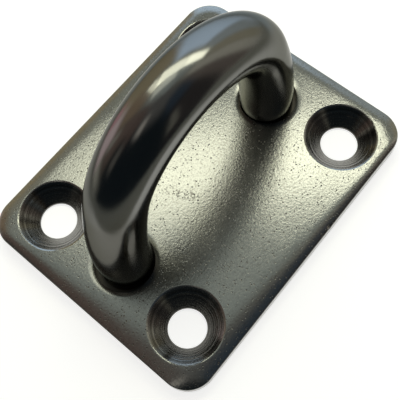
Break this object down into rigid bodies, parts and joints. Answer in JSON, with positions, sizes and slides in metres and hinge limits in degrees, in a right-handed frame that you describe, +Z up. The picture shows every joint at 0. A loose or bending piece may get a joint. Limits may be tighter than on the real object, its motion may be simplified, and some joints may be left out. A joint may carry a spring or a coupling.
{
  "type": "pad eye",
  "caption": "Welded pad eye: a round bar bow standing on a rectangular plate with countersunk screw holes, for tying off or shackling a line.",
  "frame": {"origin": "middle of the plate's underside", "axes": "+X along the plate's length and the bow, +Y across the bow, +Z up out of the plate"},
  "size_m": [0.05, 0.039, 0.0335],
  "materials": {
    "plate_steel": "satin stainless with fine pits",
    "bow_steel": "softly polished stainless bar",
    "weld_steel": "ground weld with a faint heat tint"
  },
  "bodies": {
    "root": {"base_plate": "plate_steel", "bow": "bow_steel", "left_leg_weld": "weld_steel", "right_leg_weld": "weld_steel"}
  },
  "joints": []
}
